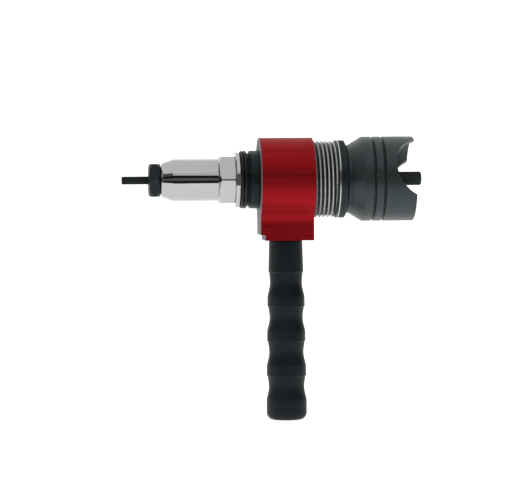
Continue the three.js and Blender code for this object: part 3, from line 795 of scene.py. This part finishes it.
def black_oxide_finish(name="black_oxide", roughness=0.4, worn=0.35, grain=900, specular=0.22):
    """Blackened steel: nearly black, with a faint cloudiness, turning marks and rubbed edges."""
    material, tree, shader = new_finish(name, (0.008, 0.010, 0.011), 0.15, roughness, specular, COOL)
    cloud = noise(tree, placed(tree), 140, 5, 0.6)
    fine = noise(tree, placed(tree), grain, 3, 0.6)
    lines = noise(tree, placed(tree, (2200, 25, 25)), 1.0, 3, 0.6)
    shade = spread(tree, cloud, 0, 1, 0.3, 0.72)
    body = tint(tree, shade, (0.003, 0.0042, 0.005), (0.013, 0.016, 0.018))
    rub = calculate(tree, "MULTIPLY", edges(tree, 0.535, 0.63), scaled(tree, fine, worn))
    give(tree, shader, "Base Color", tint(tree, rub, body, (0.22, 0.23, 0.24)))
    give(tree, shader, "Roughness", spread(tree, cloud, roughness - 0.07, roughness + 0.1, 0.3, 0.7))
    relief(tree, shader, calculate(tree, "ADD", scaled(tree, fine, 0.5), lines), 0.12, 0.03)
    return material


def pull_thread_finish(start, pitch):
    """Black thread whose loaded flank, which faces the nose, is rubbed bright all along the helix."""
    material, tree, shader = new_finish("pull_thread_steel", (0.02, 0.02, 0.02), 0.6, 0.34, 0.3, COOL)
    coordinates = tree.nodes.new("ShaderNodeTexCoord")
    parts = tree.nodes.new("ShaderNodeSeparateXYZ")
    tree.links.new(coordinates.outputs["Object"], parts.inputs["Vector"])
    angle = calculate(tree, "ARCTAN2", parts.outputs["Z"], parts.outputs["Y"])
    around = calculate(tree, "DIVIDE", angle, 2 * math.pi)
    distance = calculate(tree, "SUBTRACT", parts.outputs["X"], start * MM)
    along = calculate(tree, "DIVIDE", distance, pitch * MM)
    turns = calculate(tree, "ADD", calculate(tree, "SUBTRACT", along, around), 10)
    phase = calculate(tree, "FRACT", turns, 0)
    rise = spread(tree, phase, 0, 1, 0.60, 0.64)
    fall = spread(tree, phase, 1, 0, 0.86, 0.90)
    facing = calculate(tree, "MULTIPLY", rise, fall)
    grain = noise(tree, placed(tree, (60, 500, 500)), 1.0, 4, 0.6)
    bright = calculate(tree, "MULTIPLY", facing, spread(tree, grain, 0.7, 1.0, 0.3, 0.6))
    body = tint(tree, grain, (0.003, 0.004, 0.005), (0.011, 0.013, 0.014))
    give(tree, shader, "Base Color", tint(tree, bright, body, (0.92, 0.93, 0.93)))
    give(tree, shader, "Metallic", spread(tree, bright, 0.2, 0.3))
    give(tree, shader, "Roughness", spread(tree, bright, 0.42, 0.34))
    relief(tree, shader, grain, 0.1, 0.03)
    return material


def cup_finish():
    """Dark grey-green moulding with a fine spark-eroded grain and a few rubbed marks."""
    material, tree, shader = new_finish("cup_moulding", (0.014, 0.019, 0.019), 0.0, 0.43, 0.5, COOL)
    vector = placed(tree)
    grain = noise(tree, vector, 1000, 5, 0.7)
    cloud = noise(tree, vector, 65, 4, 0.6)
    marks = noise(tree, placed(tree, (12, 240, 240)), 1.0, 4, 0.7)
    shade = spread(tree, cloud, 0, 1, 0.3, 0.7)
    body = tint(tree, shade, (0.004, 0.007, 0.007), (0.013, 0.018, 0.018))
    specks = scaled(tree, spread(tree, grain, 0, 1, 0.52, 0.78), 0.6)
    speckled = tint(tree, specks, body, (0.062, 0.074, 0.073))
    rubbed = scaled(tree, edges(tree, 0.52, 0.62), 0.35)
    scratched = scaled(tree, spread(tree, marks, 0, 1, 0.63, 0.8), 0.5)
    scuffed = calculate(tree, "MAXIMUM", rubbed, scratched)
    give(tree, shader, "Base Color", tint(tree, scuffed, speckled, (0.06, 0.07, 0.068)))
    give(tree, shader, "Roughness", spread(tree, cloud, 0.34, 0.48, 0.3, 0.7))
    relief(tree, shader, calculate(tree, "ADD", grain, scaled(tree, cloud, 0.5)), 0.5, 0.12)
    return material


def grip_finish():
    """Moulded black rubber: matt, cloudy and faintly dusty in its pores."""
    material, tree, shader = new_finish("grip_rubber", (0.004, 0.006, 0.007), 0.0, 0.5, 0.2, COOL)
    vector = placed(tree)
    pores = noise(tree, vector, 2300, 3, 0.6)
    cloud = noise(tree, vector, 45, 5, 0.6)
    shade = spread(tree, cloud, 0, 1, 0.3, 0.7)
    body = tint(tree, shade, (0.0025, 0.0045, 0.0055), (0.006, 0.009, 0.0105))
    dust = scaled(tree, spread(tree, pores, 0, 1, 0.55, 0.8), 0.5)
    give(tree, shader, "Base Color", tint(tree, dust, body, (0.016, 0.019, 0.020)))
    give(tree, shader, "Roughness", spread(tree, cloud, 0.42, 0.56, 0.3, 0.7))
    relief(tree, shader, pores, 0.22, 0.05)
    return material


def seal_finish():
    material, tree, shader = new_finish("seal_rubber", (0.003, 0.0033, 0.0036), 0.0, 0.42, 0.35)
    cloud = noise(tree, placed(tree), 320, 4, 0.6)
    give(tree, shader, "Base Color", tint(tree, cloud, (0.002, 0.0023, 0.0026), (0.006, 0.0065, 0.007)))
    give(tree, shader, "Roughness", spread(tree, cloud, 0.42, 0.6, 0.3, 0.7))
    relief(tree, shader, noise(tree, placed(tree), 2600, 2), 0.15, 0.03)
    return material


def ground_steel_finish():
    material, tree, shader = new_finish("ground_steel", (0.5, 0.51, 0.53), 1.0, 0.28)
    lines = noise(tree, placed(tree, (3000, 40, 40)), 1.0, 4, 0.6)
    cloud = noise(tree, placed(tree), 90, 3)
    give(tree, shader, "Base Color", tint(tree, cloud, (0.42, 0.43, 0.45), (0.60, 0.61, 0.62)))
    give(tree, shader, "Roughness", spread(tree, lines, 0.2, 0.4, 0.3, 0.7))
    relief(tree, shader, lines, 0.15, 0.02)
    return material


def bronze_finish():
    material, tree, shader = new_finish("bearing_bronze", (0.50, 0.31, 0.13), 1.0, 0.36)
    pores = noise(tree, placed(tree), 1500, 4, 0.7)
    cloud = noise(tree, placed(tree), 110, 4)
    body = tint(tree, cloud, (0.42, 0.25, 0.10), (0.60, 0.39, 0.18))
    pits = spread(tree, pores, 0, 0.6, 0.58, 0.75)
    give(tree, shader, "Base Color", tint(tree, pits, body, (0.16, 0.09, 0.04)))
    give(tree, shader, "Roughness", spread(tree, cloud, 0.3, 0.45, 0.3, 0.7))
    relief(tree, shader, pores, 0.2, 0.03)
    return material


# ---- Putting the pieces in place --------------------------------------------------------------------
chrome = chrome_finish()
red = red_anodised_finish()
machined = machined_face_finish()
black = black_oxide_finish()
black_fine = black_oxide_finish("black_oxide_fine", worn=0.2, grain=1500)
mandrel_black = black_oxide_finish("mandrel_oxide", roughness=0.7, worn=0.1, grain=1500, specular=0.04)
knurl_black = black_oxide_finish("knurled_black", roughness=0.3, worn=0.3, grain=1200)
thread_steel = pull_thread_finish(helix_start(sleeve_front, PULL_PITCH), PULL_PITCH)
moulding = cup_finish()
rubber = grip_finish()
seal = seal_finish()
steel = ground_steel_finish()
bronze = bronze_finish()


def fit_out(piece, node, body, slot, *finishes):
    """Names a finished piece after the CAD node it stands for, and gives it its finish and its body."""
    piece.name = node + "_finished"
    piece.data.materials.clear()
    for finish in finishes:
        piece.data.materials.append(finish)
    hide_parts(node)
    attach(piece, body)
    return piece


def refinish_faces(piece, is_chosen):
    """Gives the chosen faces the piece's second finish."""
    for face in piece.data.polygons:
        if is_chosen(face):
            face.material_index = 1


def on_housing_front(face):
    """The housing's front face and the step under it, which are bare metal."""
    return face.normal.x < -0.9 and face.center.x < (housing_front + 4) * MM


def in_ring_groove(face):
    """The bright groove in front of the knurling."""
    on_outside = math.hypot(face.center.y, face.center.z) > 27 * MM
    return on_outside and abs(face.center.x - (ring_front + 1.98) * MM) < 0.4 * MM


fit_out(build_mandrel(), "mandrel", "spindle_unit", "black_steel", mandrel_black)
fit_out(build_anvil(), "anvil", "frame", "black_steel", black)
fit_out(build_nose_sleeve(), "nose_sleeve", "frame", "chromed_steel", chrome)
fit_out(build_lock_ring(), "nose_lock_ring", "frame", "chromed_steel", chrome)
fit_out(build_seal_ring(), "nose_seal_ring", "frame", "seal_rubber", seal)
fit_out(build_collar(), "nose_collar", "frame", "black_steel", black)
housing = fit_out(build_housing(), "housing", "frame", "red_anodised", red, machined)
refinish_faces(housing, on_housing_front)
fit_out(build_grub_screw(), "collar_grub_screw", "frame", "black_steel", black_fine)
fit_out(build_grip(), "handle_grip", "frame", "grip_rubber", rubber)

fit_out(build_pull_sleeve(), "pull_sleeve", "pull_unit", "black_steel", thread_steel)
ring = fit_out(build_knurled_ring(), "knurled_ring", "pull_unit", "black_steel", knurl_black, steel)
refinish_faces(ring, in_ring_groove)
fit_out(build_cup(), "cup", "pull_unit", "cup_plastic", moulding)
for name in CUP_SCREWS:
    fit_out(build_cup_screw(name), name, "pull_unit", "black_steel", black_fine)
fit_out(build_bearing_cap(), "bearing_cap", "pull_unit", "black_steel", black)
fit_out(build_spindle(), "drive_spindle", "spindle_unit", "black_steel", black)

journal_bore, bearing_bore = 7.7, 8.8
for node, body, slot, bore, finish in (
    ("front_bush", "frame", "bronze", journal_bore, bronze),
    ("sleeve_bush", "pull_unit", "bronze", journal_bore, bronze),
    ("rear_bush", "pull_unit", "bronze", journal_bore, bronze),
    ("collar_nut", "frame", "black_steel", 17.2, black),
    ("thrust_washer_front", "pull_unit", "bright_steel", bearing_bore, steel),
    ("thrust_washer_rear", "spindle_unit", "bright_steel", journal_bore, steel),
    ("wave_washer", "spindle_unit", "bright_steel", 8.6, steel),
):
    fit_out(smooth(build_plain_ring(node, bore)), node, body, slot, finish)

for count in range(1, 11):
    name = f"bearing_ball_{count}"
    fit_out(build_ball(name), name, "carrier", "bright_steel", steel)

for node, finish in (
    ("handle_stud", steel), ("handle_core", steel), ("ball_cage", bronze),
    ("mandrel_chuck", steel), ("chuck_pin", steel), ("chuck_cap", steel),
):
    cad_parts[node].data.materials.clear()
    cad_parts[node].data.materials.append(finish)


# ---- Studio -----------------------------------------------------------------------------------------
def shine(shader, strength):
    shader.inputs["Emission Color"].default_value = (1, 1, 1, 1)
    shader.inputs["Emission Strength"].default_value = strength


def paper_sheet(name, size, centre, turn):
    """A pale paper sheet that glows evenly, as one lit from all round does."""
    deselect()
    bpy.ops.mesh.primitive_plane_add(size=size, location=centre, rotation=turn)
    sheet = bpy.context.object
    sheet.name = name
    material, tree, shader = new_finish(name + "_paper", (0.8, 0.8, 0.8), 0.0, 0.9, 0.1)
    cloud = noise(tree, placed(tree), 3, 3)
    give(tree, shader, "Base Color", tint(tree, cloud, (0.54, 0.54, 0.54), (0.57, 0.57, 0.57)))
    shine(shader, 0.98)
    sheet.data.materials.append(material)


def build_floor():
    paper_sheet("floor", 40, (0, 0, cad_box[0].z - 0.0005), (0, 0, 0))
    paper_sheet("backdrop", 30, (0, 12, 0), (math.pi / 2, 0, 0))


def build_card(name, centre, size, glow):
    """An upright card that the camera doesn't see and that gives no light or shadow: it only paints a
    reflection into the chrome and the gloss, dark or faintly glowing as its glow is set.
    """
    deselect()
    bpy.ops.mesh.primitive_plane_add(size=1, location=centre, rotation=(math.pi / 2, 0, 0))
    card = bpy.context.object
    card.scale = (size[0], size[1], 1)
    card.name = name
    # Painted reflection: a black sheet, glowing a little where glow is set, that only reflections see.
    material, _, shader = new_finish(name + "_cloth", (0.01, 0.01, 0.01), 0.0, 1.0, 0.0)
    shine(shader, glow)
    card.data.materials.append(material)
    card.visible_camera = False
    card.visible_diffuse = False
    card.visible_shadow = False
    card.visible_transmission = False


def build_light(name, place, target, size, power):
    data = bpy.data.lights.new(name, "AREA")
    data.shape = "RECTANGLE"
    data.size, data.size_y = size
    data.energy = power
    lamp = bpy.data.objects.new(name, data)
    lamp.location = place
    lamp.rotation_euler = (Vector(target) - Vector(place)).to_track_quat("-Z", "Y").to_euler()
    bpy.context.scene.collection.objects.link(lamp)


def build_studio():
    scene = bpy.context.scene
    scene.view_settings.view_transform = "Standard"
    world = bpy.data.worlds.new("tent")
    world.use_nodes = True
    background = world.node_tree.nodes["Background"]
    background.inputs["Color"].default_value = (1, 1, 1, 1)
    background.inputs["Strength"].default_value = 0.12
    scene.world = world
    build_floor()
    # Painted reflections: a dark card and a faintly glowing card, seen only in the chrome and the
    # gloss, paint the dark band across them.
    build_card("painted_dark_reflection", (0.1, -0.52, 0.04), (3, 0.42), 0.0)
    build_card("painted_dim_reflection", (0.1, -0.51, 0.035), (3, 0.13), 0.16)
    middle = ((cad_box[0].x + cad_box[1].x) / 2, 0, -0.03)
    build_light("ceiling", (0.0, -0.2, 1.3), (0.0, -0.2, 0), (2.4, 2.4), 17)
    build_light("front_box", (0.0, -1.64, 1.15), middle, (2.4, 0.66), 4)
    build_light("left_box", (-1.6, -0.5, 0.3), middle, (1.2, 1.2), 2.2)


def build_camera():
    """A long lens from the side of the tool, a little towards its nose and a little above."""
    azimuth, elevation, roll = math.radians(5.2), math.radians(2), math.radians(-0.4)
    distance = 2.0
    target = Vector((0.10403, 0, -0.04987))
    away = Vector((
        -math.sin(azimuth) * math.cos(elevation),
        -math.cos(azimuth) * math.cos(elevation),
        math.sin(elevation),
    ))
    data = bpy.data.cameras.new("camera")
    data.lens = 185.9
    data.sensor_width = 36
    data.clip_end = 100
    camera = bpy.data.objects.new("camera", data)
    camera.location = target + away * distance
    camera.rotation_euler = (-away).to_track_quat("-Z", "Y").to_euler()
    camera.rotation_euler.rotate_axis("Z", roll)
    bpy.context.scene.collection.objects.link(camera)
    bpy.context.scene.camera = camera


build_studio()
build_camera()
